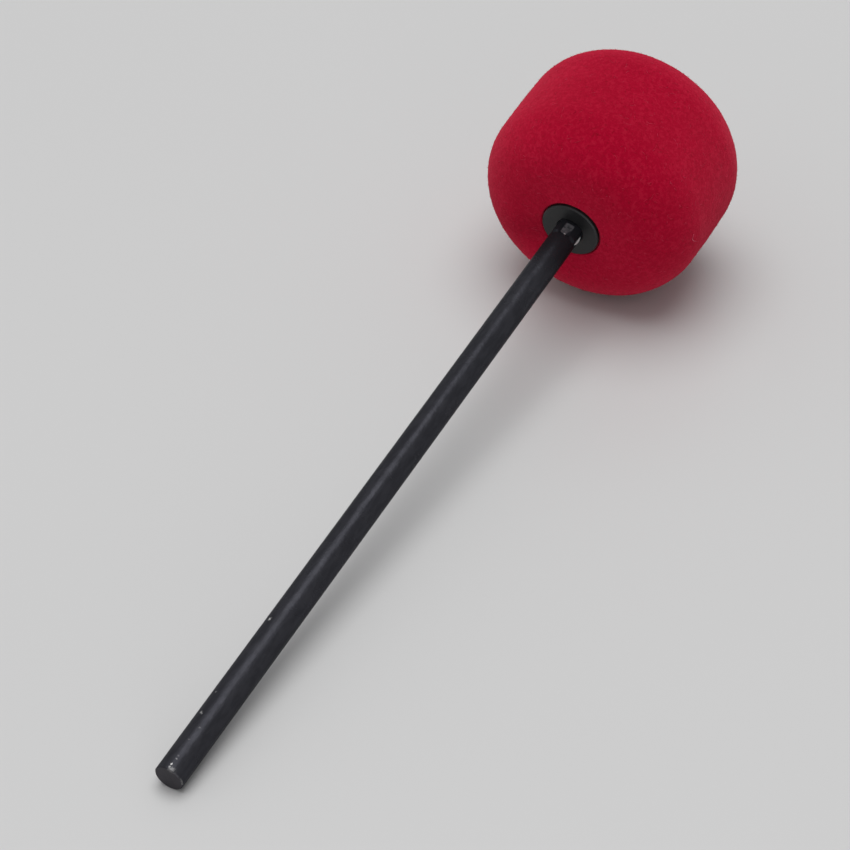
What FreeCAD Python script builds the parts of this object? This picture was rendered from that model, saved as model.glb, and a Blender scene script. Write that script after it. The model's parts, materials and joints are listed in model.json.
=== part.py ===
"""Bass drum beater: a felt barrel clamped on a crimped steel rod, lying on a flat surface.

The pieces are drawn with the rod along +Y, free end at the origin, and are then tipped about X until the felt
and the rod's free end both touch the surface. Millimetres, +Z up, origin below the middle of the whole beater.
"""
import FreeCAD, Part
import math
import os

# Rod
shaft_diameter = 7.94        # 5/16 in rod, the size that pedal clamps take
shaft_reach = 211.0          # free end to the lower washer
free_end_chamfer = 0.25
thread_root_diameter = 6.4   # threaded stretch, drawn at the bottom of its thread
thread_run_in = 3.0          # thread that reaches past the upper washer into the felt
thread_stub = 2.0            # thread left standing above the nut
thread_end_chamfer = 0.6

# Crimped stop under the head: flats pressed into the rod all round, with an ear pushed out between each two
crimp_flats = 4
crimp_length = 5.6
crimp_ramp = 0.9             # slope from the round rod down to the flats
flat_depth = 0.45
flat_width = 3.0
ear_height = 0.4             # how far each ear stands out of the rod
crimp_turn = 15.5            # degrees about the rod, from a flat facing straight up

# Washers, one on each face of the felt
washer_diameter = 17.4
washer_thickness = 1.65
washer_chamfer = 0.35        # at both edges of the rim
washer_clearance = 0.2       # between the rod and the washer's hole

# Felt barrel
felt_diameter = 65.4
felt_length = 52.0
felt_corner_radius = 16.3
felt_bite = 1.15             # how deep the washers press into the felt
felt_clearance = 0.05        # running fit of the felt on the rod
felt_rim_gap = 0.5           # felt stands back from the washer's rim

# Nut, 5/16 in thin pattern
nut_sides = 6
nut_across_flats = 12.7
nut_height = 4.76
nut_chamfer_angle = 30.0     # degrees
nut_countersink = 0.5
thread_clearance = 0.05      # between the thread's root and the nut's bore

# Derived radii, and places along the rod
shaft_radius = shaft_diameter / 2
thread_radius = thread_root_diameter / 2
flat_level = shaft_radius - flat_depth
flat_corner_radius = math.hypot(flat_level, flat_width / 2)
flat_half_turn = math.atan2(flat_width / 2, flat_level)
ear_radius = shaft_radius + ear_height
washer_radius = washer_diameter / 2
washer_hole_radius = shaft_radius + washer_clearance
felt_radius = felt_diameter / 2
nut_bore_radius = thread_radius + thread_clearance
nut_corner_radius = nut_across_flats / 2 / math.cos(math.pi / nut_sides)

lower_washer_at = shaft_reach
crimp_at = lower_washer_at - crimp_length
felt_near = lower_washer_at + washer_thickness - felt_bite
felt_far = felt_near + felt_length
upper_washer_at = felt_far - felt_bite
thread_at = upper_washer_at - thread_run_in
nut_at = upper_washer_at + washer_thickness
nut_top = nut_at + nut_height
shaft_top = nut_top + thread_stub

ROD_AXIS = FreeCAD.Vector(0, 1, 0)
ORIGIN = FreeCAD.Vector(0, 0, 0)


def at(radius, along):
    """A point of a turned profile: distance from the rod's axis, and place along the rod."""
    return FreeCAD.Vector(radius, along, 0)


def line(start, end):
    return Part.LineSegment(start, end).toShape()


def arc(start, middle, end):
    return Part.Arc(start, middle, end).toShape()


def turned(edges):
    """The solid that a closed profile sweeps in one turn about the rod's axis."""
    return Part.Face(Part.Wire(edges)).revolve(ORIGIN, ROD_AXIS, 360)


def turned_polygon(points):
    return turned([line(a, b) for a, b in zip(points, points[1:] + points[:1])])


def crimp_place(along, radius, turn):
    """A point of a crimp section, at a turn about the rod from its upper side."""
    return at(0, along) + FreeCAD.Vector(math.sin(turn), 0, math.cos(turn)) * radius


def crimp_section(along, corner_radius, tip_radius, pressed):
    """A closed section whose flats are straight where the rod is pressed, and still arcs where it is round."""
    step = 2 * math.pi / crimp_flats
    edges = []
    for k in range(crimp_flats):
        middle = math.radians(crimp_turn) + k * step
        flat_start = crimp_place(along, corner_radius, middle - flat_half_turn)
        flat_end = crimp_place(along, corner_radius, middle + flat_half_turn)
        next_flat = crimp_place(along, corner_radius, middle + step - flat_half_turn)
        ear_tip = crimp_place(along, tip_radius, middle + step / 2)
        if pressed:
            edges.append(line(flat_start, flat_end))
        else:
            edges.append(arc(flat_start, crimp_place(along, corner_radius, middle), flat_end))
        edges.append(arc(flat_end, ear_tip, next_flat))
    return Part.Wire(edges)


def shaft():
    grip = turned_polygon([
        at(0, 0),
        at(shaft_radius - free_end_chamfer, 0),
        at(shaft_radius, free_end_chamfer),
        at(shaft_radius, crimp_at),
        at(0, crimp_at),
    ])
    pressed_at = crimp_at + crimp_ramp
    round_rod = crimp_section(crimp_at, shaft_radius, shaft_radius, False)
    pressed_rod = crimp_section(pressed_at, flat_corner_radius, ear_radius, True)
    ramp = Part.makeLoft([round_rod, pressed_rod], True, True)
    stop = Part.Face(pressed_rod).extrude(ROD_AXIS * (lower_washer_at - pressed_at))
    spindle = turned_polygon([
        at(0, lower_washer_at),
        at(shaft_radius, lower_washer_at),
        at(shaft_radius, thread_at),
        at(thread_radius, thread_at),
        at(thread_radius, shaft_top - thread_end_chamfer),
        at(thread_radius - thread_end_chamfer, shaft_top),
        at(0, shaft_top),
    ])
    return grip.multiFuse([ramp, stop, spindle]).removeSplitter()


def washer(along):
    """A flat washer with its lower face at the given place and a chamfered rim."""
    top = along + washer_thickness
    rim = washer_radius - washer_chamfer
    return turned_polygon([
        at(washer_hole_radius, along),
        at(rim, along),
        at(washer_radius, along + washer_chamfer),
        at(washer_radius, top - washer_chamfer),
        at(rim, top),
        at(washer_hole_radius, top),
    ])


def felt_head():
    """A barrel with a straight side, round shoulders, and a seat for a washer in each face."""
    bore = shaft_radius + felt_clearance
    seat = washer_radius + felt_rim_gap
    face = felt_radius - felt_corner_radius
    near_shoulder = felt_near + felt_corner_radius
    far_shoulder = felt_far - felt_corner_radius
    bulge = felt_corner_radius / math.sqrt(2)
    near_seat = felt_near + felt_bite
    far_seat = felt_far - felt_bite
    return turned([
        line(at(bore, near_seat), at(seat, near_seat)),
        line(at(seat, near_seat), at(seat, felt_near)),
        line(at(seat, felt_near), at(face, felt_near)),
        arc(at(face, felt_near), at(face + bulge, near_shoulder - bulge), at(felt_radius, near_shoulder)),
        line(at(felt_radius, near_shoulder), at(felt_radius, far_shoulder)),
        arc(at(felt_radius, far_shoulder), at(face + bulge, far_shoulder + bulge), at(face, felt_far)),
        line(at(face, felt_far), at(seat, felt_far)),
        line(at(seat, felt_far), at(seat, far_seat)),
        line(at(seat, far_seat), at(bore, far_seat)),
        line(at(bore, far_seat), at(bore, near_seat)),
    ])


def top_nut():
    """A hex prism trimmed by a turned blank, which rounds off its corners at both faces."""
    steps = [2 * math.pi * k / nut_sides for k in range(nut_sides)]
    corners = [
        FreeCAD.Vector(nut_corner_radius * math.cos(step), nut_at, nut_corner_radius * math.sin(step))
        for step in steps
    ]
    prism = Part.Face(Part.makePolygon(corners + corners[:1])).extrude(ROD_AXIS * nut_height)
    face_radius = nut_across_flats / 2
    trim = (nut_corner_radius - face_radius) * math.tan(math.radians(nut_chamfer_angle))
    blank = turned_polygon([
        at(nut_bore_radius + nut_countersink, nut_at),
        at(face_radius, nut_at),
        at(nut_corner_radius, nut_at + trim),
        at(nut_corner_radius, nut_top - trim),
        at(face_radius, nut_top),
        at(nut_bore_radius + nut_countersink, nut_top),
        at(nut_bore_radius, nut_top - nut_countersink),
        at(nut_bore_radius, nut_at + nut_countersink),
    ])
    return prism.common(blank)


def resting_tilt():
    """Angle of the rod above the surface when the felt's near shoulder and the rod's free end touch it."""
    along = felt_near + felt_corner_radius - free_end_chamfer
    across = felt_radius - felt_corner_radius - shaft_radius
    return math.atan2(across, along) + math.asin(felt_corner_radius / math.hypot(along, across))


def laid_down(pieces):
    """Tip every piece about X, then set the beater on z = 0 with the origin below its middle."""
    tilt = math.degrees(resting_tilt())
    for shape in pieces.values():
        shape.rotate(ORIGIN, FreeCAD.Vector(1, 0, 0), tilt)
    box = Part.makeCompound(list(pieces.values())).optimalBoundingBox(False, False)
    shift = FreeCAD.Vector(0, -(box.YMin + box.YMax) / 2, -box.ZMin)
    for shape in pieces.values():
        shape.translate(shift)
    return shift


def main():
    pieces = {
        "shaft": shaft(),
        "lower_washer": washer(lower_washer_at),
        "felt_head": felt_head(),
        "upper_washer": washer(upper_washer_at),
        "top_nut": top_nut(),
    }
    shift = laid_down(pieces)

    os.makedirs("parts", exist_ok=True)
    for name, shape in pieces.items():
        if not shape.isValid() or len(shape.Solids) != 1:
            raise RuntimeError(name + " is not one valid solid")
        shape.Solids[0].exportStep(os.path.join("parts", name + ".step"))
        print(name, "volume", round(shape.Volume, 1), "mm3")

    # Where the rod's axis lies, for whoever fits the beater to something
    tilt = resting_tilt()
    direction = FreeCAD.Vector(0, math.cos(tilt), math.sin(tilt))
    print("tilt", round(math.degrees(tilt), 4), "degrees, rod direction", direction)
    print("rod's free end", shift)
    print("middle of the plain grip", shift + direction * ((free_end_chamfer + crimp_at) / 2))
    print("length of the plain grip", crimp_at - free_end_chamfer)
    print("middle of the felt", shift + direction * ((felt_near + felt_far) / 2))


main()
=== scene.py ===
"""Looks of a bass drum beater: a red felt barrel on a black steel rod, held by two washers and a nut.

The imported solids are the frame. The felt is modelled as an uneven pressed barrel with a nap of real
fibres, the thread on the rod's top end is cut as a helix, a burr is raised on the crimp under the head,
and every metal surface gets its own finish. Places on the beater are given as a distance along the rod,
measured from the middle of the felt towards the nut, a radius from the rod's axis, and a turn about it,
measured from the upper side towards +X.
"""

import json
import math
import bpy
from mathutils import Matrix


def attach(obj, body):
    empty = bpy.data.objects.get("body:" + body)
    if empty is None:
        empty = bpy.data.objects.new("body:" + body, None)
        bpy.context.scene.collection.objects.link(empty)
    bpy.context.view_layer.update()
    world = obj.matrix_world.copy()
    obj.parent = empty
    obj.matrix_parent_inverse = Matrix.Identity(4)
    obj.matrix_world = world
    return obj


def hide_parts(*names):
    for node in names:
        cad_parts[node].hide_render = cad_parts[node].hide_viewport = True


bl_info = {
    "name": "Bass drum beater",
    "version": (1, 0, 0),
    "blender": (4, 5, 0),
    "location": "3D View > Sidebar > Beater",
    "description": "Felt head, nap, thread, metal finishes and studio of a bass drum beater",
    "category": "Object",
}

from typing import NamedTuple

import bpy
import numpy as np
from bpy.props import FloatProperty, FloatVectorProperty, IntProperty, PointerProperty
from mathutils import Vector, noise

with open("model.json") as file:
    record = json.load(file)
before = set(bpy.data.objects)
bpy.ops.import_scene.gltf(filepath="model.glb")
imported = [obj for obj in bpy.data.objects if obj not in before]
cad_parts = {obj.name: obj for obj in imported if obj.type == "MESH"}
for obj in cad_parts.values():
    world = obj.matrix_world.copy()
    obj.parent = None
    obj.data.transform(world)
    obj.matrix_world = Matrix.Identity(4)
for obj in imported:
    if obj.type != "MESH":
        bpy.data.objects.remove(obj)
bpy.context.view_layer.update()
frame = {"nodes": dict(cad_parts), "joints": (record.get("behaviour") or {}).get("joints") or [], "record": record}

MM = 0.001
# Smallest difference that counts, in metres or in rows of the felt
HAIR = 1e-6

# The rod's axis, from the joint about which the head turns
HEAD_MIDDLE = Vector(frame["joints"][0]["pos_m"])
ROD_AXIS = Vector(frame["joints"][0]["axis"]).normalized()
ACROSS = Vector((1.0, 0.0, 0.0))
UPPER_SIDE = ACROSS.cross(ROD_AXIS)

# The plain grip, from the mount that a pedal's clamp takes hold of; the crimp starts where it stops
GRIP = frame["record"]["mounts"][0]
ROD_RADIUS = GRIP["dims"]["r_mm"] * MM
CRIMP_START = (Vector(GRIP["pos_m"]) - HEAD_MIDDLE).dot(ROD_AXIS) + GRIP["dims"]["length_mm"] / 2 * MM


def reach(node):
    """Where a solid starts and ends along the rod, and its largest radius."""
    mesh = frame["nodes"][node].data
    points = np.empty(len(mesh.vertices) * 3)
    mesh.vertices.foreach_get("co", points)
    points = points.reshape(-1, 3) - np.array(HEAD_MIDDLE)
    along = points @ np.array(ROD_AXIS)
    radius = np.linalg.norm(points - np.outer(along, ROD_AXIS), axis=1)
    return float(along.min()), float(along.max()), float(radius.max())


ROD_END, ROD_TOP, _ = reach("shaft")
FELT_NEAR, FELT_FAR, FELT_RADIUS = reach("felt_head")
LOWER_WASHER_FACE, LOWER_WASHER_SEAT, WASHER_RADIUS = reach("lower_washer")
_, NUT_FACE, NUT_CORNER_RADIUS = reach("top_nut")


def on_beater(along, radius, turn):
    """Points in the frame, from places along the rod, radii and turns; arrays are welcome."""
    along = np.asarray(along)[..., None]
    radius = np.asarray(radius)[..., None]
    turn = np.asarray(turn)[..., None]
    outward = np.cos(turn) * np.array(UPPER_SIDE) + np.sin(turn) * np.array(ACROSS)
    return np.array(HEAD_MIDDLE) + along * np.array(ROD_AXIS) + radius * outward


# Settings that a user would change

def length(name, description, default):
    return FloatProperty(name=name, description=description, default=default, unit="LENGTH", precision=5)


def power(name, description, default):
    return FloatProperty(name=name, description=description, default=default, unit="POWER")


def angle(name, description, default):
    return FloatProperty(name=name, description=description, default=default, subtype="ANGLE")


def count(name, description, default):
    return IntProperty(name=name, description=description, default=default)


def colour(name, description, default):
    return FloatVectorProperty(
        name=name, description=description, default=default, subtype="COLOR", size=3, min=0.0, max=1.0
    )


class FeltSettings(bpy.types.PropertyGroup):
    corner_radius: length("Corner radius", "Round from the barrel's side to its flat ends", 16.3 * MM)
    crown: length("Crown", "How far the middle of the side stands out", 0.12 * MM)
    squash: length("Squash", "How much wider than tall the barrel is pressed", 0.26 * MM)
    lean: length("Lean", "How far the barrel's top end is pressed to one side", 0.30 * MM)
    lip_radius: length("Lip radius", "Round of the felt's edge beside the washer", 0.30 * MM)
    washer_gap: length("Washer gap", "Felt kept clear of the washer's rim, at the widest", 0.80 * MM)
    tight_gap: length("Tight gap", "The same gap on the other side, where it is tightest", 0.12 * MM)
    seat_gap: length("Seat gap", "Felt kept clear of the washer's back", 0.05 * MM)
    bore_radius: length("Bore radius", "Hole that the rod goes through", 4.05 * MM)
    unevenness: length("Unevenness", "Slow swells left by pressing the felt", 0.14 * MM)
    lumps: length("Lumps", "Small lumps of matted wool", 0.05 * MM)
    grain: length("Grain", "Fine roughness of the surface", 0.025 * MM)
    red: colour("Felt red", "Colour of the wool", (0.506, 0.0024, 0.0325))
    deep_red: colour("Deep red", "Colour in the pits between fibres", (0.335, 0.0040, 0.0180))
    pale_red: colour("Pale red", "Colour of fibres that stand in the light", (0.560, 0.034, 0.066))
    fibre_pink: colour("Fibre pink", "Colour of the loose fibres", (0.72, 0.070, 0.140))
    nap_count: count("Nap fibres", "Short fibres over the felt", 12000)
    nap_length: length("Nap length", "Usual length of a short fibre", 0.55 * MM)
    nap_thickness: length("Nap thickness", "Radius of a short fibre at its root", 0.022 * MM)
    stray_pink: colour("Stray fibre pink", "Colour of the one large stray fibre", (0.78, 0.22, 0.29))
    lint_count: count("Loose fibres", "Longer fibres that lie on the felt", 900)
    lint_length: length("Loose fibre length", "Usual length of a loose fibre", 1.2 * MM)
    lint_thickness: length("Loose fibre thickness", "Radius of a loose fibre", 0.038 * MM)
    seed: count("Seed", "Seed of the fibres' places", 7)


class MetalSettings(bpy.types.PropertyGroup):
    paint: colour("Rod black", "Coat on the rod", (0.0425, 0.0429, 0.0507))
    # Darker black: random mottle in the coat, and painted shade on the coat near the head
    mottle_and_shade_black: colour("Clean black", "Coat in the mottle and near the head", (0.0180, 0.0182, 0.0220))
    paint_dust: colour("Rod dust", "Faint grey film on the coat", (0.0480, 0.0485, 0.0550))
    end_dust: colour("End face", "Dusty coat on the rod's free end", (0.0700, 0.0670, 0.0740))
    # Bare steel at the chips; also the pale steel of the crimp's burr, where its brightness is a painted glint
    bare_steel_and_glint: colour("Bare steel", "Metal where the coat has chipped off", (0.90, 0.89, 0.88))
    # Rubbed coat and painted highlight on the crimp's upper flat
    scuff_and_highlight: colour("Scuffed flats", "Coat rubbed grey where the rod is crimped", (0.127, 0.124, 0.134))
    plate: colour("Washer black", "Dark plating on the washers", (0.0084, 0.0087, 0.0093))
    plate_worn: colour("Washer wear", "Plating rubbed thin", (0.024, 0.025, 0.026))
    nut_plate: colour("Nut black", "Dark plating on the nut", (0.020, 0.021, 0.022))
    thread_pitch: length("Thread pitch", "Rise of the thread in one turn", 1.411 * MM)
    thread_depth: length("Thread depth", "Height of the thread's ridge", 0.74 * MM)


class StageSettings(bpy.types.PropertyGroup):
    floor: colour("Floor", "Pale floor", (0.637, 0.637, 0.635))
    sky_left: colour("Sky on the left", "Soft light from the room's left", (0.61, 0.61, 0.615))
    sky_right: colour("Sky on the right", "Soft light from the room's right", (0.23, 0.23, 0.235))
    background: colour("Background", "What the eye and reflections see past the floor", (0.46, 0.46, 0.459))
    lamp_power: power("Lamp", "Power of the lamp overhead", 58.0)
    lamp_width: length("Lamp width", "Width of the round lamp overhead", 2.86)
    fill_power: power("Fill", "Power of the low lamp in front", 11.5)
    eye: FloatVectorProperty(
        name="Eye",
        description="Where the camera stands",
        default=(0.29418, -0.53370, 0.54219),
        subtype="XYZ",
        unit="LENGTH",
    )
    view_azimuth: angle("View azimuth", "Turn of the view", math.radians(29.2275))
    view_elevation: angle("View elevation", "Tilt of the view", math.radians(40.8603))
    lens: FloatProperty(
        name="Lens",
        description="Focal length of the camera",
        default=127.55,
        subtype="DISTANCE_CAMERA",
    )


# Node trees

# Sockets of a Mix node that mixes colours
MIX_FIRST = 6
MIX_SECOND = 7
MIX_RESULT = 2


class Nodes:
    """Short calls that add nodes to a node tree."""

    def __init__(self, tree):
        self.tree = tree

    def node(self, kind, inputs=(), **settings):
        """Adds a node with its settings, and its inputs as pairs of a socket and what that gets."""
        made = self.tree.nodes.new(kind)
        for name, value in settings.items():
            setattr(made, name, value)
        for socket, value in inputs:
            self.put(value, made.inputs[socket])
        return made

    def put(self, value, socket):
        """Links an output to a socket, or sets the socket to a plain value."""
        if isinstance(value, bpy.types.NodeSocket):
            self.tree.links.new(value, socket)
        else:
            socket.default_value = value

    def math(self, operation, first, second=0.0):
        return self.node("ShaderNodeMath", [(0, first), (1, second)], operation=operation).outputs[0]

    def product(self, first, *others):
        for other in others:
            first = self.math("MULTIPLY", first, other)
        return first

    def mix(self, share, first, second):
        """A colour between two, each of which is an output or a plain colour."""
        made = self.node("ShaderNodeMix", [(0, share)], data_type="RGBA")
        for socket, value in ((MIX_FIRST, first), (MIX_SECOND, second)):
            linked = isinstance(value, bpy.types.NodeSocket)
            self.put(value if linked else (*value, 1.0), made.inputs[socket])
        return made.outputs[MIX_RESULT]

    def layers(self, base, *coats):
        """A base colour with others laid over it in turn, each a pair of its share and its colour."""
        for share, tone in coats:
            base = self.mix(share, base, tone)
        return base


class Finish(Nodes):
    """A material, with the surface's places on the beater and the patterns that a finish is made of."""

    def __init__(self, name):
        self.material = bpy.data.materials.new(name)
        self.material.use_nodes = True
        super().__init__(self.material.node_tree)
        self.shader = self.tree.nodes["Principled BSDF"]
        self.object_place = self.node("ShaderNodeTexCoord").outputs["Object"]

    def surface(self, values):
        """Gives the shader its inputs, by the names of its sockets."""
        for socket, value in values.items():
            self.put(value, self.shader.inputs[socket])

    def bump(self, height, depth, strength):
        inputs = [("Height", height), ("Strength", strength), ("Distance", depth)]
        made = self.node("ShaderNodeBump", inputs)
        self.surface({"Normal": made.outputs["Normal"]})

    def vector(self, operation, first, second, output="Vector"):
        made = self.node("ShaderNodeVectorMath", [(0, first), (1, second)], operation=operation)
        return made.outputs[output]

    def distance(self, centre):
        """How far the surface is from a point."""
        return self.vector("DISTANCE", self.object_place, centre, "Value")

    def rod_parts(self, stretch=1.0):
        """The surface's place across the rod, towards its upper side, and along it divided by stretch."""
        from_middle = self.vector("SUBTRACT", self.object_place, HEAD_MIDDLE)
        axes = (ACROSS, UPPER_SIDE, ROD_AXIS / stretch)
        return [self.vector("DOT_PRODUCT", from_middle, axis, "Value") for axis in axes]

    def along_rod(self, stretch):
        """The surface's place for a pattern that is drawn out along the rod."""
        return self.node("ShaderNodeCombineXYZ", enumerate(self.rod_parts(stretch))).outputs["Vector"]

    def axis_distance(self, across, upper):
        """How far the surface is from the rod's axis."""
        squares = [self.product(part, part) for part in (across, upper)]
        return self.math("SQRT", self.math("ADD", *squares))

    def noise(self, size, detail=2.0, roughness=0.5, place=None, distortion=0.0):
        """Noise whose patches are about size metres across."""
        inputs = [
            ("Vector", self.object_place if place is None else place),
            ("Scale", 1.0 / size),
            ("Detail", detail),
            ("Roughness", roughness),
            ("Distortion", distortion),
        ]
        return self.node("ShaderNodeTexNoise", inputs).outputs["Fac"]

    def between(self, value, low, high, start=0.0, end=1.0):
        """Takes value from the range low to high onto the range start to end, with a smooth step."""
        inputs = [
            ("Value", value),
            ("From Min", low),
            ("From Max", high),
            ("To Min", start),
            ("To Max", end),
        ]
        return self.node("ShaderNodeMapRange", inputs, interpolation_type="SMOOTHSTEP").outputs["Result"]


# Felt and fibres

WOOL_CLOUD_SIZE = 14 * MM
WOOL_MATTING_SIZE = 1.15 * MM
WOOL_GRAIN_SIZE = 0.50 * MM
WOOL_PIT_SIZE = 1.0 * MM
WOOL_PIT_SHARE = 0.60
WOOL_RELIEF = 0.14 * MM
WOOL_MATTING_RELIEF = 0.6
WOOL_SHEEN_TINT = (1.0, 0.32, 0.39, 1.0)
FIBRE_SHADE_SIZE = 0.9 * MM


def felt_finish(felt):
    """Pressed wool: matt, with a soft sheen, slow changes of tone, dark pits and a fine grain."""
    made = Finish("pressed_red_felt")
    cloud = made.between(made.noise(WOOL_CLOUD_SIZE, detail=3.0), 0.35, 0.65)
    matting = made.noise(WOOL_MATTING_SIZE, detail=4.0, roughness=0.65, distortion=0.6)
    matting = made.between(matting, 0.36, 0.66)
    grain = made.noise(WOOL_GRAIN_SIZE, detail=3.0, roughness=0.7)
    pits = made.between(made.noise(WOOL_PIT_SIZE), 0.62, 0.70)
    wool = made.layers(
        felt.red,
        (made.between(matting, 0.0, 1.0, start=0.32, end=0.0), felt.deep_red),
        (made.between(matting, 0.4, 1.0, end=0.20), felt.pale_red),
        (made.between(cloud, 0.0, 1.0, end=0.12), felt.deep_red),
        (made.between(grain, 0.55, 0.8, end=0.30), felt.pale_red),
        (made.product(pits, WOOL_PIT_SHARE), felt.deep_red),
    )
    made.surface({
        "Base Color": wool,
        "Roughness": 1.0,
        "Diffuse Roughness": 1.0,
        "Specular IOR Level": 0.0,
        "Sheen Weight": 0.20,
        "Sheen Roughness": 0.5,
        "Sheen Tint": WOOL_SHEEN_TINT,
    })
    height = made.math("ADD", grain, made.product(matting, WOOL_MATTING_RELIEF))
    made.bump(height, WOOL_RELIEF, strength=0.6)
    return made.material


def fibre_finish(name, dark, light):
    """Single wool fibres: from a dark to a light tone, by where each one grows."""
    made = Finish(name)
    shade = made.between(made.noise(FIBRE_SHADE_SIZE, detail=1.0), 0.32, 0.68)
    made.surface({
        "Base Color": made.mix(shade, dark, light),
        "Roughness": made.between(shade, 0.0, 1.0, start=0.95, end=0.75),
        "Specular IOR Level": 0.05,
    })
    return made.material


# The rod's coat: sizes of its patterns, how far some are drawn out along the rod, and their relief

COAT_STREAK_SIZE = 1.1 * MM
COAT_STREAK_STRETCH = 40.0
COAT_MOTTLE_SIZE = 1.6 * MM
COAT_MOTTLE_STRETCH = 3.0
COAT_FILM_SIZE = 9.0 * MM
COAT_PEEL_SIZE = 0.8 * MM
COAT_RELIEF = 0.12 * MM
COAT_STREAK_RELIEF = 0.5
COAT_MOTTLE_RELIEF = 1.5
COAT_PEEL_RELIEF = 0.4
COAT_CHIP_DEPTH = 0.25
COAT_GLARE = (0.62, 0.62, 0.62, 1.0)

# Places along the rod: the dusty end face, the stretch dulled by handling, and the painted shade near the head,
# where the felt shelters the rod
DUST_FULL = ROD_END + 0.02 * MM
DUST_STOP = ROD_END + 0.12 * MM
HANDLED_FULL = ROD_END + 45 * MM
HANDLED_STOP = ROD_END + 85 * MM
HEAD_SHADE_START = CRIMP_START - 21 * MM
HEAD_SHADE_FULL = CRIMP_START - 4 * MM


class Mark(NamedTuple):
    """A spot where the rod's coat is off, and how bare it is there."""

    from_end: float
    turn: float
    width: float
    bare: float
    radius: float = ROD_RADIUS


ROD_CHIPS = (
    Mark(50.9 * MM, math.radians(-26.7), 0.75 * MM, 0.60),
    Mark(25.4 * MM, math.radians(-27.2), 0.40 * MM, 0.25),
    Mark(18.4 * MM, math.radians(-26.7), 0.60 * MM, 0.35),
    Mark(18.1 * MM, math.radians(-20.0), 0.45 * MM, 0.25),
    Mark(14.1 * MM, math.radians(9.4), 0.45 * MM, 0.08),
    Mark(9.9 * MM, math.radians(2.4), 0.35 * MM, 0.08),
    Mark(4.6 * MM, math.radians(6.6), 0.45 * MM, 0.07),
    Mark(3.7 * MM, math.radians(7.6), 0.50 * MM, 0.12),
    Mark(1.75 * MM, math.radians(5.0), 0.50 * MM, 0.62),
    Mark(0.85 * MM, math.radians(4.5), 0.60 * MM, 0.24),
    Mark(0.45 * MM, math.radians(17.0), 1.50 * MM, 0.14),
    Mark(206.2 * MM, math.radians(17.5), 0.50 * MM, 0.60, 3.65 * MM),
)
# Where a chip starts to fade and where it stops, as shares of its width, and the size of its ragged edge
CHIP_FULL = 0.30
CHIP_STOP = 0.55
CHIP_RAGGED_SIZE = 0.22 * MM

# Wear on the rim of the free end: where it is, how bare it is, and how far it reaches each way
WORN_TURNS = (math.radians(20.0), math.radians(64.0), math.radians(82.0))
WORN_BARE = 0.15
WORN_SPREAD_FULL = 0.7 * MM
WORN_SPREAD_STOP = 1.6 * MM
WORN_LENGTH_FULL = 0.20 * MM
WORN_LENGTH_STOP = 0.50 * MM
WORN_INSET_FULL = 0.20 * MM
WORN_INSET_STOP = 0.40 * MM
WORN_PATCH_SIZE = 1.0 * MM

# The crimp: its flats' corners and dullness, the way the upper flat faces, and where flats start and stop
FLAT_CORNER_RADIUS = 3.83 * MM
FLAT_EDGE = 0.14 * MM
FLAT_DULLNESS = 0.2
UPPER_FLAT_TURN = math.radians(15.5)
FLAT_START = CRIMP_START + 1.0 * MM
FLAT_FULL = LOWER_WASHER_FACE - 0.9 * MM
FLAT_STOP = LOWER_WASHER_FACE - 0.5 * MM
# The patch on the upper flat, painted lighter as rubbed coat and painted highlight: it has round corners, and ends
# at a slanting line on its right side
SCUFF_HIGHLIGHT_MIDDLE = CRIMP_START + 2.70 * MM
SCUFF_HIGHLIGHT_HALF_LENGTH = 2.30 * MM
SCUFF_HIGHLIGHT_HALF_WIDTH = 1.42 * MM
SCUFF_HIGHLIGHT_CORNER_FULL = 0.65
SCUFF_HIGHLIGHT_CORNER_STOP = 1.35
SCUFF_HIGHLIGHT_PATCH_SIZE = 0.9 * MM
SCUFF_HIGHLIGHT_SLANT = 0.40
SCUFF_HIGHLIGHT_SLANT_FULL = -0.35 * MM
SCUFF_HIGHLIGHT_SLANT_STOP = 0.25 * MM


def coat_chips(made):
    """Where the coat has chipped off, as ragged spots."""
    ragged = made.between(made.noise(CHIP_RAGGED_SIZE, detail=3.0), 0.3, 0.7, start=0.45, end=1.55)
    bare = 0.0
    for mark in ROD_CHIPS:
        centre = Vector(on_beater(ROD_END + mark.from_end, mark.radius, mark.turn))
        spread = made.product(made.distance(centre), ragged)
        full = CHIP_FULL * mark.width
        stop = CHIP_STOP * mark.width
        chip = made.between(spread, full, stop, start=mark.bare, end=0.0)
        bare = made.math("MAXIMUM", bare, chip)
    return bare


def worn_rim(made, radius, along):
    """Where the rim of the free end is rubbed through."""
    from_end = made.math("SUBTRACT", along, ROD_END)
    end_edge = made.between(from_end, WORN_LENGTH_FULL, WORN_LENGTH_STOP, start=1.0, end=0.0)
    rim = made.between(radius, ROD_RADIUS - WORN_INSET_STOP, ROD_RADIUS - WORN_INSET_FULL)
    patches = made.between(made.noise(WORN_PATCH_SIZE, detail=3.0, roughness=0.6), 0.45, 0.60)
    worn = 0.0
    for turn in WORN_TURNS:
        spread = made.distance(Vector(on_beater(ROD_END, ROD_RADIUS, turn)))
        spot = made.between(spread, WORN_SPREAD_FULL, WORN_SPREAD_STOP, start=WORN_BARE, end=0.0)
        worn = made.math("MAXIMUM", worn, spot)
    return made.product(end_edge, rim, patches, worn)


def crimp_flats(made, radius, along):
    """The pressed flats of the crimp, up to just below the washer."""
    inside = made.between(radius, FLAT_CORNER_RADIUS - FLAT_EDGE, FLAT_CORNER_RADIUS, start=1.0, end=0.0)
    past_ramp = made.between(along, CRIMP_START, FLAT_START)
    below_washer = made.between(along, FLAT_FULL, FLAT_STOP, start=1.0, end=0.0)
    return made.product(inside, past_ramp, below_washer)


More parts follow.
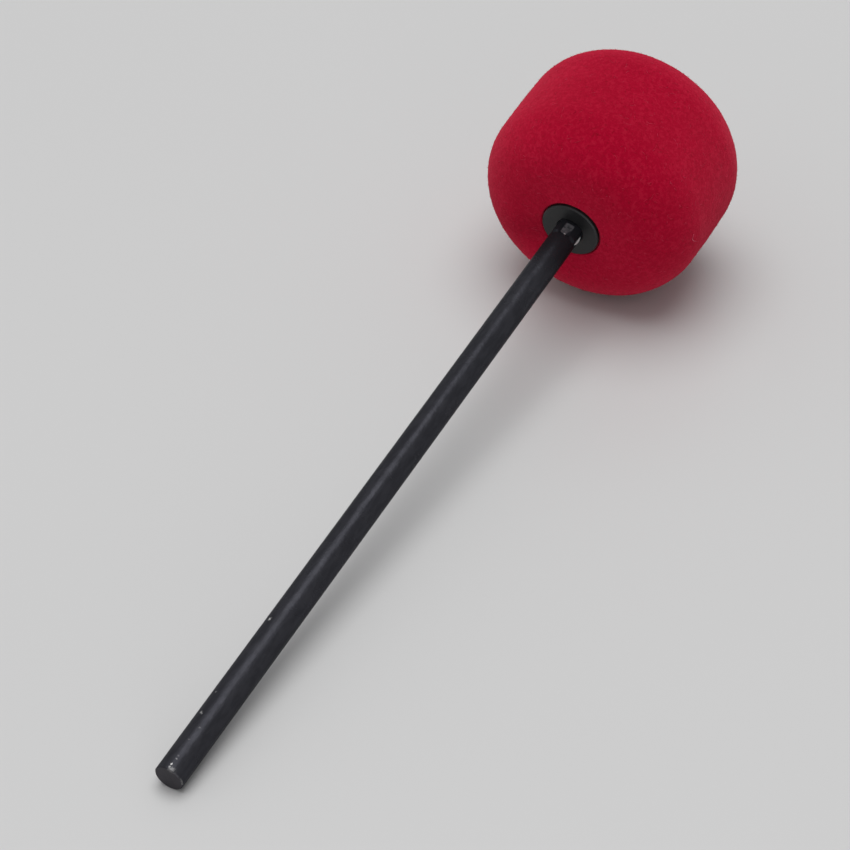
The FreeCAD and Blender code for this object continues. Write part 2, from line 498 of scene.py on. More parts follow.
def flat_scuff_highlight(made, across, upper, along):
    """How far the patch on the upper flat is painted lighter, as rubbed coat and painted highlight."""
    patches = made.noise(SCUFF_HIGHLIGHT_PATCH_SIZE, detail=3.0, roughness=0.6)
    patches = made.between(patches, 0.30, 0.60, start=0.25)
    to_right = made.product(across, math.cos(UPPER_FLAT_TURN))
    to_right = made.math("SUBTRACT", to_right, made.product(upper, math.sin(UPPER_FLAT_TURN)))
    slant = made.product(made.math("SUBTRACT", along, CRIMP_START), SCUFF_HIGHLIGHT_SLANT)
    past_slant = made.math("SUBTRACT", to_right, slant)
    left_of_slant = made.between(past_slant, SCUFF_HIGHLIGHT_SLANT_FULL, SCUFF_HIGHLIGHT_SLANT_STOP, start=1.0, end=0.0)
    to_middle = made.math("SUBTRACT", along, SCUFF_HIGHLIGHT_MIDDLE)
    corner = 0.0
    for offset, half_size in ((to_right, SCUFF_HIGHLIGHT_HALF_WIDTH), (to_middle, SCUFF_HIGHLIGHT_HALF_LENGTH)):
        share = made.math("DIVIDE", offset, half_size)
        square = made.product(share, share)
        corner = made.math("ADD", corner, made.product(square, square))
    inside = made.between(corner, SCUFF_HIGHLIGHT_CORNER_FULL, SCUFF_HIGHLIGHT_CORNER_STOP, start=1.0, end=0.0)
    return made.product(patches, left_of_slant, inside)


def rod_finish(metal):
    """Black coat, half gloss, mottled and streaked, with chips, a worn end, a crimp whose upper flat is painted
    lighter as rubbed coat and painted highlight, and painted shade towards the head.
    """
    made = Finish("black_rod_coat")
    across, upper, along = made.rod_parts()
    radius = made.axis_distance(across, upper)
    streak_place = made.along_rod(COAT_STREAK_STRETCH)
    streaks = made.noise(COAT_STREAK_SIZE, detail=3.0, roughness=0.6, place=streak_place)
    mottle_place = made.along_rod(COAT_MOTTLE_STRETCH)
    mottle = made.noise(COAT_MOTTLE_SIZE, detail=3.0, roughness=0.6, place=mottle_place)
    film = made.noise(COAT_FILM_SIZE, detail=4.0, roughness=0.6)
    orange_peel = made.noise(COAT_PEEL_SIZE)
    flats = crimp_flats(made, radius, along)
    scuff_highlight = made.product(flats, flat_scuff_highlight(made, across, upper, along))
    bare = made.math("MAXIMUM", coat_chips(made), worn_rim(made, radius, along))
    coat = made.layers(
        metal.paint,
        (made.between(streaks, 0.40, 0.75, end=0.45), metal.paint_dust),
        (made.between(film, 0.45, 0.75, end=0.35), metal.paint_dust),
        (made.between(mottle, 0.35, 0.65, end=0.35), metal.mottle_and_shade_black),
        # Painted shade: the coat darkens towards the head, where the felt shelters the rod
        (made.between(along, HEAD_SHADE_START, HEAD_SHADE_FULL, end=0.76), metal.mottle_and_shade_black),
        (made.between(along, DUST_FULL, DUST_STOP, start=1.0, end=0.0), metal.end_dust),
        # Rubbed coat and painted highlight on the upper flat of the crimp
        (scuff_highlight, metal.scuff_and_highlight),
        (bare, metal.bare_steel_and_glint),
    )
    dullness = made.between(film, 0.3, 0.7, start=0.22, end=0.30)
    handled = made.between(along, HANDLED_FULL, HANDLED_STOP, start=1.24, end=0.97)
    dullness = made.product(dullness, handled)
    made.surface({
        "Base Color": coat,
        "Metallic": made.between(bare, 0.0, 1.0, start=0.52, end=0.25),
        "Roughness": made.math("ADD", dullness, made.product(flats, FLAT_DULLNESS)),
        "Specular IOR Level": 0.0,
        "Specular Tint": COAT_GLARE,
    })
    height = made.product(streaks, COAT_STREAK_RELIEF)
    height = made.math("ADD", height, made.product(orange_peel, COAT_PEEL_RELIEF))
    height = made.math("ADD", height, made.product(mottle, COAT_MOTTLE_RELIEF))
    height = made.math("SUBTRACT", height, made.product(bare, COAT_CHIP_DEPTH))
    made.bump(height, COAT_RELIEF, strength=0.5)
    return made.material


# Plating, bare steel with the burr's painted glint, and floor

PLATE_CLOUD_SIZE = 3.5 * MM
PLATE_TOOTH_SIZE = 0.35 * MM
PLATE_RELIEF = 0.02 * MM
PLATE_EDGE_START = 0.7 * MM
PLATE_EDGE_FULL = 0.1 * MM
SCRATCH_SIZE = 0.10 * MM
SCRATCH_STRETCH = 12.0
FLOOR_CLOUD_SIZE = 0.25
FLOOR_SHADE = 0.985


def plate_finish(name, dark, worn, edge_radius):
    """Satin dark plating on flat hardware, rubbed thin towards its outer edge."""
    made = Finish(name)
    across, upper, _ = made.rod_parts()
    radius = made.axis_distance(across, upper)
    cloud = made.noise(PLATE_CLOUD_SIZE, detail=4.0, roughness=0.6)
    tooth = made.noise(PLATE_TOOTH_SIZE, detail=3.0, roughness=0.6)
    edge = made.between(radius, edge_radius - PLATE_EDGE_START, edge_radius - PLATE_EDGE_FULL, end=0.55)
    rubbed = made.product(edge, made.between(tooth, 0.35, 0.65, start=0.4))
    made.surface({
        "Base Color": made.layers(dark, (made.between(cloud, 0.4, 0.7, end=0.4), worn), (rubbed, worn)),
        "Roughness": made.between(cloud, 0.3, 0.7, start=0.44, end=0.56),
        "Specular IOR Level": 0.40,
    })
    made.bump(tooth, PLATE_RELIEF, strength=0.5)
    return made.material


def bare_steel_glint_finish(metal):
    """Pale steel, its brightness a painted glint on the crimp's burr, with fine scratches along the rod."""
    made = Finish("bare_steel_and_glint")
    scratches = made.noise(SCRATCH_SIZE, place=made.along_rod(SCRATCH_STRETCH))
    dulled = made.between(scratches, 0.3, 0.7, end=0.12)
    made.surface({
        "Base Color": made.mix(dulled, metal.bare_steel_and_glint, metal.plate_worn),
        "Roughness": made.between(scratches, 0.3, 0.7, start=0.35, end=0.50),
        "Metallic": 0.1,
    })
    return made.material


def floor_finish(stage):
    """A plain pale board, half matt, with the faintest unevenness of tone."""
    made = Finish("pale_floor")
    cloud = made.noise(FLOOR_CLOUD_SIZE, detail=3.0)
    shaded = [FLOOR_SHADE * part for part in stage.floor]
    made.surface({
        "Base Color": made.mix(made.between(cloud, 0.3, 0.7), stage.floor, shaded),
        "Roughness": made.between(cloud, 0.3, 0.7, start=0.33, end=0.38),
        "Specular IOR Level": 0.5,
    })
    return made.material


# Meshes

def mesh_piece(name, points, faces, materials, smooth=True):
    mesh = bpy.data.meshes.new(name)
    mesh.from_pydata([tuple(point) for point in points], [], [tuple(face) for face in faces])
    mesh.validate()
    if smooth:
        mesh.shade_smooth()
    else:
        mesh.shade_flat()
    for material in materials:
        mesh.materials.append(material)
    piece = bpy.data.objects.new(name, mesh)
    bpy.context.scene.collection.objects.link(piece)
    return piece


def dress(node, material):
    """Gives a solid its finish."""
    solid = frame["nodes"][node]
    if not solid.material_slots:
        solid.data.materials.append(material)
    for slot in solid.material_slots:
        slot.material = material


FELT_SEGMENTS = 288
FELT_STEP = 0.55 * MM
LIP_STEPS = 4
BORE_SHARES = (-0.5, 0.0, 0.5)
FLOOR_CLEARANCE = 0.02 * MM
# Turn at which the felt stands back furthest from the washers
SEAT_WIDEST_TURN = math.radians(35.0)
# Widths of the felt's slow swells, small lumps and fine grain
SWELL_SIZE = 20 * MM
LUMP_SIZE = 4.5 * MM
GRAIN_SIZE = 1.3 * MM
# Rings that are freer than this show; the others lie beside or under the washers, or in the bore
SHOWN_FREEDOM = 0.5


def felt_outline(felt):
    """The felt's section as places along the rod, radii and how free each place is to be uneven.

    It starts in the bore, runs under the near washer, over the near end, along the side and back.
    """
    corner = felt.corner_radius
    lip = felt.lip_radius
    wall = WASHER_RADIUS + felt.tight_gap
    near_seat = LOWER_WASHER_SEAT + felt.seat_gap
    flat_radius = FELT_RADIUS - corner
    flat = flat_radius - wall - lip
    flat_steps = round(flat / FELT_STEP)
    corner_steps = round(math.pi / 2 * corner / FELT_STEP)
    side = FELT_FAR - FELT_NEAR - 2 * corner
    side_steps = round(side / FELT_STEP)
    seat_radii = (felt.bore_radius, 0.5 * (felt.bore_radius + wall), wall)
    near_end = [(near_seat, radius, 0.0) for radius in seat_radii]
    for step in range(LIP_STEPS + 1):
        share = step / LIP_STEPS
        bend = share * math.pi / 2
        along = FELT_NEAR + lip * (1 - math.sin(bend))
        near_end.append((along, wall + lip * (1 - math.cos(bend)), share))
    for step in range(1, flat_steps):
        near_end.append((FELT_NEAR, wall + lip + step / flat_steps * flat, 1.0))
    for step in range(corner_steps):
        bend = step / corner_steps * math.pi / 2
        along = FELT_NEAR + corner * (1 - math.cos(bend))
        near_end.append((along, flat_radius + corner * math.sin(bend), 1.0))
    barrel_side = []
    for step in range(side_steps + 1):
        share = step / side_steps
        crown = felt.crown * 0.5 * (1 - math.cos(2 * math.pi * share))
        barrel_side.append((FELT_NEAR + corner + share * side, FELT_RADIUS + crown, 1.0))
    far_end = [(FELT_NEAR + FELT_FAR - along, radius, free) for along, radius, free in reversed(near_end)]
    bore = [(near_seat * share, felt.bore_radius, 0.0) for share in BORE_SHARES]
    return np.array(near_end + barrel_side + far_end + bore)


def loose_seat(felt, outline, turn):
    """How far the edge beside each washer stands back: wide on one side, dying out over the flat ends."""
    edge = WASHER_RADIUS + felt.tight_gap
    flat_radius = FELT_RADIUS - felt.corner_radius
    radius = outline[:, 1]
    share = np.clip((flat_radius - radius) / (flat_radius - edge), 0.0, 1.0)
    share[radius < edge - HAIR] = 0.0
    widest = felt.washer_gap - felt.tight_gap
    return widest * share[:, None] * 0.5 * (1 + np.cos(turn - SEAT_WIDEST_TURN))


def lean_share(felt, outline):
    """Share of the lean at each ring: none at the near end or beside a washer, most at the far shoulder."""
    up_the_side = np.clip((outline[:, 0] - FELT_NEAR) / (FELT_FAR - FELT_NEAR), 0.0, 1.0)
    from_washer = outline[:, 1] - WASHER_RADIUS - felt.washer_gap
    return up_the_side * np.clip(from_washer / felt.corner_radius, 0.0, 1.0)


def felt_surface(felt):
    """The felt's points as a grid of rings, with each point's normal and the rings that show."""
    outline = felt_outline(felt)
    tangent = np.roll(outline[:, :2], -1, axis=0) - np.roll(outline[:, :2], 1, axis=0)
    tangent /= np.linalg.norm(tangent, axis=1)[:, None]
    turns = np.arange(FELT_SEGMENTS) * 2 * math.pi / FELT_SEGMENTS
    along, turn = np.meshgrid(outline[:, 0], turns, indexing="ij")
    radius = np.repeat(outline[:, 1][:, None], FELT_SEGMENTS, axis=1)
    radius += loose_seat(felt, outline, turn)
    points = on_beater(along, radius, turn)
    outward = on_beater(0.0, 1.0, turn) - np.array(HEAD_MIDDLE)
    normals = tangent[:, 0][:, None, None] * outward - tangent[:, 1][:, None, None] * np.array(ROD_AXIS)
    pressed = -felt.squash * np.cos(2 * turn) * outline[:, 2][:, None] * radius / FELT_RADIUS
    points += pressed[..., None] * outward
    points += lean_share(felt, outline)[:, None, None] * felt.lean * np.array(ACROSS)
    waves = ((SWELL_SIZE, felt.unevenness), (LUMP_SIZE, felt.lumps), (GRAIN_SIZE, felt.grain))
    for ring, free in enumerate(outline[:, 2]):
        if free == 0.0:
            continue
        for segment in range(FELT_SEGMENTS):
            place = Vector(points[ring, segment])
            swell = sum(height * noise.noise(place / size) for size, height in waves)
            points[ring, segment] += free * swell * normals[ring, segment]
    points[..., 2] = np.maximum(points[..., 2], FLOOR_CLEARANCE)
    shown = np.flatnonzero(outline[:, 2] > SHOWN_FREEDOM)
    return points, normals, shown


def make_felt(felt):
    """The barrel of felt, a closed skin from the bore over both ends."""
    points, _, _ = felt_surface(felt)
    rings = len(points)
    faces = []
    for ring in range(rings):
        after = (ring + 1) % rings
        for segment in range(FELT_SEGMENTS):
            beside = (segment + 1) % FELT_SEGMENTS
            faces.append((
                ring * FELT_SEGMENTS + segment, ring * FELT_SEGMENTS + beside,
                after * FELT_SEGMENTS + beside, after * FELT_SEGMENTS + segment,
            ))
    piece = mesh_piece("felt_barrel", points.reshape(-1, 3), faces, [felt_finish(felt)])
    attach(piece, "head")
    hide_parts("felt_head")


def surface_places(points, normals, shown, rows, columns):
    """Points and normals of the felt at broken row and column numbers."""
    rows = np.clip(rows, shown[0], shown[-1] - HAIR)
    columns = np.mod(columns, FELT_SEGMENTS)
    row, column = rows.astype(int), columns.astype(int)
    row_share, column_share = (rows - row)[..., None], (columns - column)[..., None]
    beside = (column + 1) % FELT_SEGMENTS

    def blended(grid):
        low = grid[row, column] * (1 - column_share) + grid[row, beside] * column_share
        high = grid[row + 1, column] * (1 - column_share) + grid[row + 1, beside] * column_share
        return low * (1 - row_share) + high * row_share

    normal = blended(normals)
    return blended(points), normal / np.linalg.norm(normal, axis=-1)[..., None]


def even_spread(points, shown, amount, draw):
    """Random rows and columns that cover the felt's shown surface evenly."""
    rows = np.arange(shown[0], shown[-1])
    ring_step = np.linalg.norm(points[rows + 1, 0] - points[rows, 0], axis=1)
    ring_width = np.linalg.norm(points[rows, 1] - points[rows, 0], axis=1)
    area = ring_step * ring_width
    row = draw.choice(rows, size=amount, p=area / area.sum()) + draw.random(amount)
    return row, draw.random(amount) * FELT_SEGMENTS


TUBE_SIDES = 3
STEEP = 0.8


def tubes(paths, radii):
    """Closed three-sided tubes along paths, with a point at each far end; paths is fibre, step, xyz."""
    amount, steps, _ = paths.shape
    direction = paths[:, -1] - paths[:, 0]
    direction /= np.linalg.norm(direction, axis=1)[:, None]
    helper = np.where(np.abs(direction[:, 2:3]) < STEEP, (0.0, 0.0, 1.0), (1.0, 0.0, 0.0))
    side = np.cross(direction, helper)
    side /= np.linalg.norm(side, axis=1)[:, None]
    other = np.cross(direction, side)
    corners = []
    for corner in range(TUBE_SIDES):
        turn = corner * 2 * math.pi / TUBE_SIDES
        corners.append(math.cos(turn) * side + math.sin(turn) * other)
    corners = np.stack(corners, axis=1)
    rings = paths[:, :-1, None, :] + radii[:, :-1, None, None] * corners[:, None, :, :]
    points = np.concatenate([rings.reshape(amount, -1, 3), paths[:, -1:, :]], axis=1)
    pattern = [tuple(reversed(range(TUBE_SIDES)))]
    for step in range(steps - 2):
        low = TUBE_SIDES * step
        high = low + TUBE_SIDES
        for corner in range(TUBE_SIDES):
            after = (corner + 1) % TUBE_SIDES
            pattern.append((low + corner, low + after, high + after, high + corner))
    tip = TUBE_SIDES * (steps - 1)
    low = tip - TUBE_SIDES
    for corner in range(TUBE_SIDES):
        pattern.append((low + corner, low + (corner + 1) % TUBE_SIDES, tip))
    per_fibre = points.shape[1]
    faces = []
    for fibre in range(amount):
        start = fibre * per_fibre
        faces.extend(tuple(start + index for index in face) for face in pattern)
    return points.reshape(-1, 3), faces


# How the fibres vary: the spread of their lengths, and how thick the thinnest and the thickest are
NAP_LENGTH_SPREAD = 0.35
LINT_LENGTH_SPREAD = 0.4
THINNEST = 0.7
THICKEST = 1.2
# The short fibres: how upright they start, how far they droop, how deep they root, and how they taper
NAP_FLATTEST = 0.10
NAP_UPRIGHT = 0.75
NAP_DROOP = 0.6
NAP_ROOT_DEPTH = 0.05 * MM
NAP_TAPER = (1.0, 0.85, 0.0)
# The loose fibres: their steps, how they curl at each, and how far they lie off the felt, in thicknesses
LINT_STEPS = 6
LINT_CURL = 0.28
LINT_LIFT = 0.6
LINT_ARCH = 1.6


def make_nap(felt):
    """Short fibres that stand and lean all over the felt."""
    draw = np.random.default_rng(felt.seed)
    amount = felt.nap_count
    points, normals, shown = felt_surface(felt)
    rows, columns = even_spread(points, shown, amount, draw)
    root, normal = surface_places(points, normals, shown, rows, columns)
    wander = draw.normal(size=(amount, 3))
    lean = wander - (wander * normal).sum(1)[:, None] * normal
    lean /= np.linalg.norm(lean, axis=1)[:, None]
    size = felt.nap_length * draw.lognormal(0.0, NAP_LENGTH_SPREAD, amount)[:, None]
    stand = draw.uniform(NAP_FLATTEST, NAP_UPRIGHT, amount)[:, None]
    droop = NAP_DROOP * stand
    middle = root + size / 2 * (stand * normal + np.sqrt(1 - stand ** 2) * lean)
    tip = middle + size / 2 * (droop * normal + np.sqrt(1 - droop ** 2) * lean)
    paths = np.stack([root - NAP_ROOT_DEPTH * normal, middle, tip], axis=1)
    paths[..., 2] = np.maximum(paths[..., 2], 2 * felt.nap_thickness)
    thickness = felt.nap_thickness * draw.uniform(THINNEST, THICKEST, amount)
    radii = thickness[:, None] * np.array(NAP_TAPER)
    finish = fibre_finish("short_wool_fibre", felt.red, felt.pale_red)
    piece = mesh_piece("felt_nap", *tubes(paths, radii), [finish])
    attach(piece, "head")


def make_lint(felt):
    """Longer curled fibres that lie loose on the felt."""
    draw = np.random.default_rng(felt.seed + 1)
    amount = felt.lint_count
    points, normals, shown = felt_surface(felt)
    rows, columns = even_spread(points, shown, amount, draw)
    heading = draw.uniform(0, 2 * math.pi, amount)
    curl = draw.normal(0.0, LINT_CURL, (amount, LINT_STEPS))
    size = felt.lint_length * draw.lognormal(0.0, LINT_LENGTH_SPREAD, amount)
    path = []
    for step in range(LINT_STEPS + 1):
        place, normal = surface_places(points, normals, shown, rows, columns)
        arch = LINT_ARCH * math.sin(math.pi * step / LINT_STEPS)
        path.append(place + felt.lint_thickness * (LINT_LIFT + arch) * normal)
        if step == LINT_STEPS:
            break
        heading = heading + curl[:, step]
        ring = np.clip(rows, shown[0], shown[-1]).astype(int)
        ring_width = np.linalg.norm(points[ring, 1] - points[ring, 0], axis=1)
        rows = rows + size / LINT_STEPS * np.cos(heading) / FELT_STEP
        columns = columns + size / LINT_STEPS * np.sin(heading) / ring_width
    paths = np.stack(path, axis=1)
    paths[..., 2] = np.maximum(paths[..., 2], 2 * felt.lint_thickness)
    thickness = felt.lint_thickness * draw.uniform(THINNEST, THICKEST, amount)
    radii = np.repeat(thickness[:, None], LINT_STEPS + 1, axis=1)
    finish = fibre_finish("loose_wool_fibre", felt.pale_red, felt.fibre_pink)
    piece = mesh_piece("felt_loose_fibres", *tubes(paths, radii), [finish])
    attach(piece, "head")


# A stray fibre on the near shoulder, bent near one end: places along the rod and turns
STRAY_FIBRE = (
    (-13.9 * MM, math.radians(87.8)),
    (-14.3 * MM, math.radians(89.4)),
    (-14.5 * MM, math.radians(91.1)),
    (-13.8 * MM, math.radians(92.8)),
    (-11.3 * MM, math.radians(96.8)),
)
STRAY_THICKNESS = 0.085 * MM
STRAY_LIFT = 0.8


def make_stray_fibre(felt):
    """The one loose fibre that is large enough to be seen by itself."""
    points, normals, shown = felt_surface(felt)
    outline = felt_outline(felt)
    near_half = np.arange(shown[0], len(outline))[: np.argmax(outline[shown[0]:, 0])]
    along, turn = np.array(STRAY_FIBRE).T
    rows = np.interp(along, outline[near_half, 0], near_half)
    columns = turn / (2 * math.pi) * FELT_SEGMENTS
    place, normal = surface_places(points, normals, shown, rows, columns)
    path = place + STRAY_LIFT * STRAY_THICKNESS * normal
    radii = np.full((1, len(path)), STRAY_THICKNESS)
    finish = fibre_finish("stray_wool_fibre", felt.fibre_pink, felt.stray_pink)
    piece = mesh_piece("felt_stray_fibre", *tubes(path[None], radii), [finish])
    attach(piece, "head")


def swept(total, corners):
    """Faces of a bar whose points come in rings of so many corners, with both ends closed."""
    faces = [tuple(range(corners))]
    for low in range(0, total - corners, corners):
        high = low + corners
        for side in range(corners):
            beside = (side + 1) % corners
            faces.append((low + side, high + side, high + beside, low + beside))
    faces.append(tuple(range(total - 1, total - corners - 1, -1)))
    return faces


# A burr along the crimp's right-hand flat: the way that flat faces, its level, and the burr's place on it
SIDE_FLAT_TURN = UPPER_FLAT_TURN + math.pi / 2
FLAT_LEVEL = 3.52 * MM
BURR_OFFSET = -0.05 * MM
BURR_START = ROD_END + 207.3 * MM
BURR_STOP = ROD_END + 210.97 * MM
BURR_STEPS = 14
# The burr's section: a crest that leans over by a share of the half width, on a foot sunk into the flat
BURR_HEIGHT = 0.50 * MM
BURR_HALF_WIDTH = 0.12 * MM
BURR_LEAN = 0.8
BURR_FOOT_DEPTH = 0.03 * MM
# How the burr fades: the power of its taper, and the share that is left at both ends
BURR_TAPER = 0.6
BURR_END_SHARE = 0.05


def make_burr(metal):
    """A thin sliver of steel that the crimping tool raised, sharpest in the middle, its pale colour a painted
    glint.
    """
    outward = math.sin(SIDE_FLAT_TURN) * ACROSS + math.cos(SIDE_FLAT_TURN) * UPPER_SIDE
    over = math.cos(SIDE_FLAT_TURN) * ACROSS - math.sin(SIDE_FLAT_TURN) * UPPER_SIDE
    points = []
    for step in range(BURR_STEPS + 1):
        share = step / BURR_STEPS
        fade = max(BURR_END_SHARE, math.sin(math.pi * share) ** BURR_TAPER)
        along = BURR_START + share * (BURR_STOP - BURR_START)
        centre = HEAD_MIDDLE + along * ROD_AXIS + FLAT_LEVEL * outward + BURR_OFFSET * over
        crest = centre + fade * BURR_HEIGHT * outward + BURR_LEAN * BURR_HALF_WIDTH * over
        foot = centre - BURR_FOOT_DEPTH * outward
        points += [foot + fade * BURR_HALF_WIDTH * over, crest, foot - fade * BURR_HALF_WIDTH * over]
    faces = swept(len(points), corners=3)
    piece = mesh_piece("crimp_burr", points, faces, [bare_steel_glint_finish(metal)], smooth=False)
    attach(piece, "rod")


THREAD_STEPS = 48
# The thread's ridge: its crest below the rod's radius, its root sunk into the solid, half widths in pitches
THREAD_CREST_INSET = 0.05 * MM
THREAD_ROOT_DEPTH = 0.05 * MM
THREAD_HALF_FOOT = 0.46
THREAD_HALF_CREST = 0.07
# How the ridge ends: distance from the tip in pitches, steepness of its fade, and what is left there
THREAD_TIP_GAP = 0.55
THREAD_FADE = 8.0
THREAD_END_HEIGHT = 0.02
THREAD_END_FOOT = 0.3


def make_thread(metal):
    """The screw thread's ridge on the rod's top end, from inside the nut to just below the tip."""
    pitch = metal.thread_pitch
    start = NUT_FACE - pitch
    stop = ROD_TOP - THREAD_TIP_GAP * pitch
    crest_radius = ROD_RADIUS - THREAD_CREST_INSET
    root_radius = crest_radius - metal.thread_depth - THREAD_ROOT_DEPTH
    turns = (stop - start) / pitch
    steps = round(turns * THREAD_STEPS)
    points = []
    for step in range(steps + 1):
        share = step / steps
        fade = min(1.0, THREAD_FADE * min(share, 1.0 - share) + THREAD_END_HEIGHT)
        centre = start + share * (stop - start)
        turn = share * turns * 2 * math.pi
        crest = root_radius + (crest_radius - root_radius) * fade
        half_foot = THREAD_HALF_FOOT * pitch * (THREAD_END_FOOT + (1 - THREAD_END_FOOT) * fade)
        half_crest = THREAD_HALF_CREST * pitch
        for offset, radius in (
            (-half_foot, root_radius), (-half_crest, crest), (half_crest, crest), (half_foot, root_radius)
        ):
            points.append(on_beater(centre + offset, radius, turn))
    finish = plate_finish("black_thread", metal.nut_plate, metal.plate_worn, crest_radius)
    faces = swept(len(points), corners=4)
    piece = mesh_piece("rod_thread", points, faces, [finish], smooth=False)
    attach(piece, "rod")


# Stage

FLOOR_REACH = 4.0
FLOOR_CORNERS = ((-1, -1), (1, -1), (1, 1), (-1, 1))
OVERHEAD_PLACE = Vector((-0.18, 0.27, 3.0))
FILL_PLACE = Vector((2.0, -2.3, 0.45))
FILL_SIZE = (2.6, 0.7)
SENSOR_WIDTH = 36.0


def make_floor(stage):
    points = [(x * FLOOR_REACH, y * FLOOR_REACH, 0.0) for x, y in FLOOR_CORNERS]
    floor = mesh_piece("floor", points, [(0, 1, 2, 3)], [floor_finish(stage)], smooth=False)


def soft_sky(stage):
    """Soft light from all round, stronger on the left; camera and reflections see a plain background."""
    world = bpy.data.worlds.new("soft_sky")
    world.use_nodes = True
    bpy.context.scene.world = world
    made = Nodes(world.node_tree)
    made.tree.nodes.clear()
    direction = made.node("ShaderNodeTexCoord").outputs["Generated"]
    to_right = made.node("ShaderNodeSeparateXYZ", [(0, direction)]).outputs["X"]
    share = made.node("ShaderNodeMapRange", [("Value", to_right), ("From Min", -1.0)]).outputs["Result"]
    room = made.mix(share, stage.sky_left, stage.sky_right)
    light = made.node("ShaderNodeBackground", [("Color", room)]).outputs[0]
    plain = made.node("ShaderNodeBackground", [("Color", (*stage.background, 1.0))]).outputs[0]
    rays = made.node("ShaderNodeLightPath").outputs
    sees_plain = rays["Is Camera Ray"]
    for kind in ("Is Glossy Ray", "Is Transmission Ray"):
        sees_plain = made.math("MAXIMUM", sees_plain, rays[kind])
    sky = made.node("ShaderNodeMixShader", [(0, sees_plain), (1, light), (2, plain)]).outputs[0]
    made.node("ShaderNodeOutputWorld", [("Surface", sky)])


def soft_lamp(name, place, aim, size, energy):
    """A lamp with an oval face of the given width and height."""
    lamp = bpy.data.lights.new(name, "AREA")
    lamp.shape = "ELLIPSE"
    lamp.size, lamp.size_y = size
    lamp.energy = energy
    light = bpy.data.objects.new(name, lamp)
    light.location = place
    light.rotation_euler = (aim - place).to_track_quat("-Z", "Y").to_euler()
    bpy.context.scene.collection.objects.link(light)


def make_camera(stage):
    """The camera where the photograph was taken, turned by its azimuth and tilted by its elevation."""
    camera = bpy.data.cameras.new("photo_view")
    camera.sensor_width = SENSOR_WIDTH
    camera.lens = stage.lens
    viewer = bpy.data.objects.new("photo_view", camera)
    viewer.location = stage.eye
    level = math.cos(stage.view_elevation)
    forward = Vector((
        -math.sin(stage.view_azimuth) * level,
        math.cos(stage.view_azimuth) * level,
        -math.sin(stage.view_elevation),
    ))
    viewer.rotation_euler = forward.to_track_quat("-Z", "Y").to_euler()
    bpy.context.scene.collection.objects.link(viewer)
    bpy.context.scene.camera = viewer


def make_stage(stage):
    """Floor, light and camera."""
    make_floor(stage)
    soft_sky(stage)
    below_lamp = Vector((OVERHEAD_PLACE.x, OVERHEAD_PLACE.y, 0.0))
    lamp_size = (stage.lamp_width, stage.lamp_width)
    soft_lamp("overhead", OVERHEAD_PLACE, below_lamp, lamp_size, stage.lamp_power)
    soft_lamp("front_fill", FILL_PLACE, HEAD_MIDDLE, FILL_SIZE, stage.fill_power)
    make_camera(stage)
    bpy.context.scene.view_settings.view_transform = "Standard"


# Operators, one for each piece or group of like pieces

class BEATER_OT_rod(bpy.types.Operator):
    """Give the rod its black coat, with chips and a worn end, and raise the burr on its crimp"""

    bl_idname = "beater.rod"
    bl_label = "Rod"

    def execute(self, context):
        metal = context.scene.beater_metal
        dress("shaft", rod_finish(metal))
        make_burr(metal)
        return {"FINISHED"}


class BEATER_OT_washers(bpy.types.Operator):
    """Give both washers their dark plating"""

    bl_idname = "beater.washers"
    bl_label = "Washers"

    def execute(self, context):
        metal = context.scene.beater_metal
        finish = plate_finish("black_washer_plate", metal.plate, metal.plate_worn, WASHER_RADIUS)
        for node in ("lower_washer", "upper_washer"):
            dress(node, finish)
        return {"FINISHED"}


class BEATER_OT_nut(bpy.types.Operator):
    """Plate the nut and cut the thread that it sits on"""

    bl_idname = "beater.nut"
    bl_label = "Nut and thread"

    def execute(self, context):
        metal = context.scene.beater_metal
        finish = plate_finish("black_nut_plate", metal.nut_plate, metal.plate_worn, NUT_CORNER_RADIUS)
        dress("top_nut", finish)
        make_thread(metal)
        return {"FINISHED"}


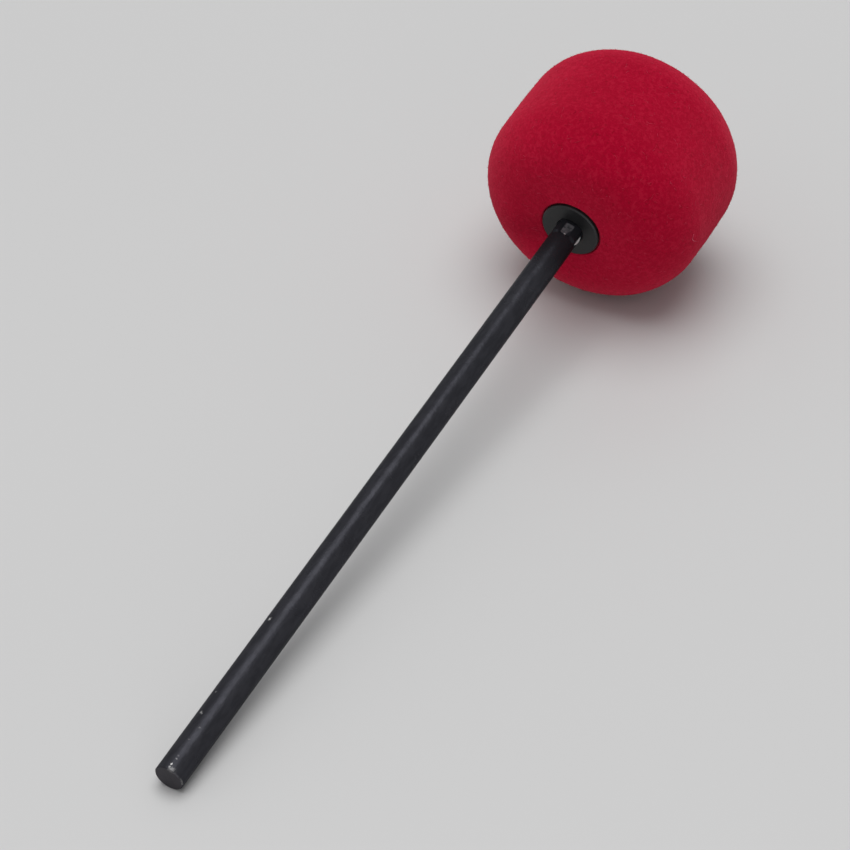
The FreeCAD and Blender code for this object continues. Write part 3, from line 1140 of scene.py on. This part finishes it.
class BEATER_OT_felt(bpy.types.Operator):
    """Model the felt barrel"""

    bl_idname = "beater.felt"
    bl_label = "Felt barrel"

    def execute(self, context):
        make_felt(context.scene.beater_felt)
        return {"FINISHED"}


class BEATER_OT_fibres(bpy.types.Operator):
    """Cover the felt with its nap and loose fibres"""

    bl_idname = "beater.fibres"
    bl_label = "Felt fibres"

    def execute(self, context):
        felt = context.scene.beater_felt
        make_nap(felt)
        make_lint(felt)
        make_stray_fibre(felt)
        return {"FINISHED"}


class BEATER_OT_stage(bpy.types.Operator):
    """Set the floor, the light and the camera"""

    bl_idname = "beater.stage"
    bl_label = "Stage"

    def execute(self, context):
        make_stage(context.scene.beater_stage)
        return {"FINISHED"}


OPERATORS = (
    BEATER_OT_rod,
    BEATER_OT_washers,
    BEATER_OT_nut,
    BEATER_OT_felt,
    BEATER_OT_fibres,
    BEATER_OT_stage,
)
SETTINGS = (("beater_felt", FeltSettings), ("beater_metal", MetalSettings), ("beater_stage", StageSettings))


class BEATER_PT_panel(bpy.types.Panel):
    """The beater's pieces and settings in the sidebar"""

    bl_idname = "BEATER_PT_panel"
    bl_label = "Bass drum beater"
    bl_space_type = "VIEW_3D"
    bl_region_type = "UI"
    bl_category = "Beater"

    def draw(self, context):
        for operator in OPERATORS:
            self.layout.operator(operator.bl_idname)
        for name, group in SETTINGS:
            box = self.layout.box()
            for setting in group.__annotations__:
                box.prop(getattr(context.scene, name), setting)


def register():
    for name, group in SETTINGS:
        bpy.utils.register_class(group)
        setattr(bpy.types.Scene, name, PointerProperty(type=group))
    for made in (*OPERATORS, BEATER_PT_panel):
        bpy.utils.register_class(made)


def unregister():
    for made in (BEATER_PT_panel, *reversed(OPERATORS)):
        bpy.utils.unregister_class(made)
    for name, group in reversed(SETTINGS):
        delattr(bpy.types.Scene, name)
        bpy.utils.unregister_class(group)


def main():
    register()
    bpy.ops.beater.rod()
    bpy.ops.beater.washers()
    bpy.ops.beater.nut()
    bpy.ops.beater.felt()
    bpy.ops.beater.fibres()
    bpy.ops.beater.stage()


if __name__ == "__main__":
    main()
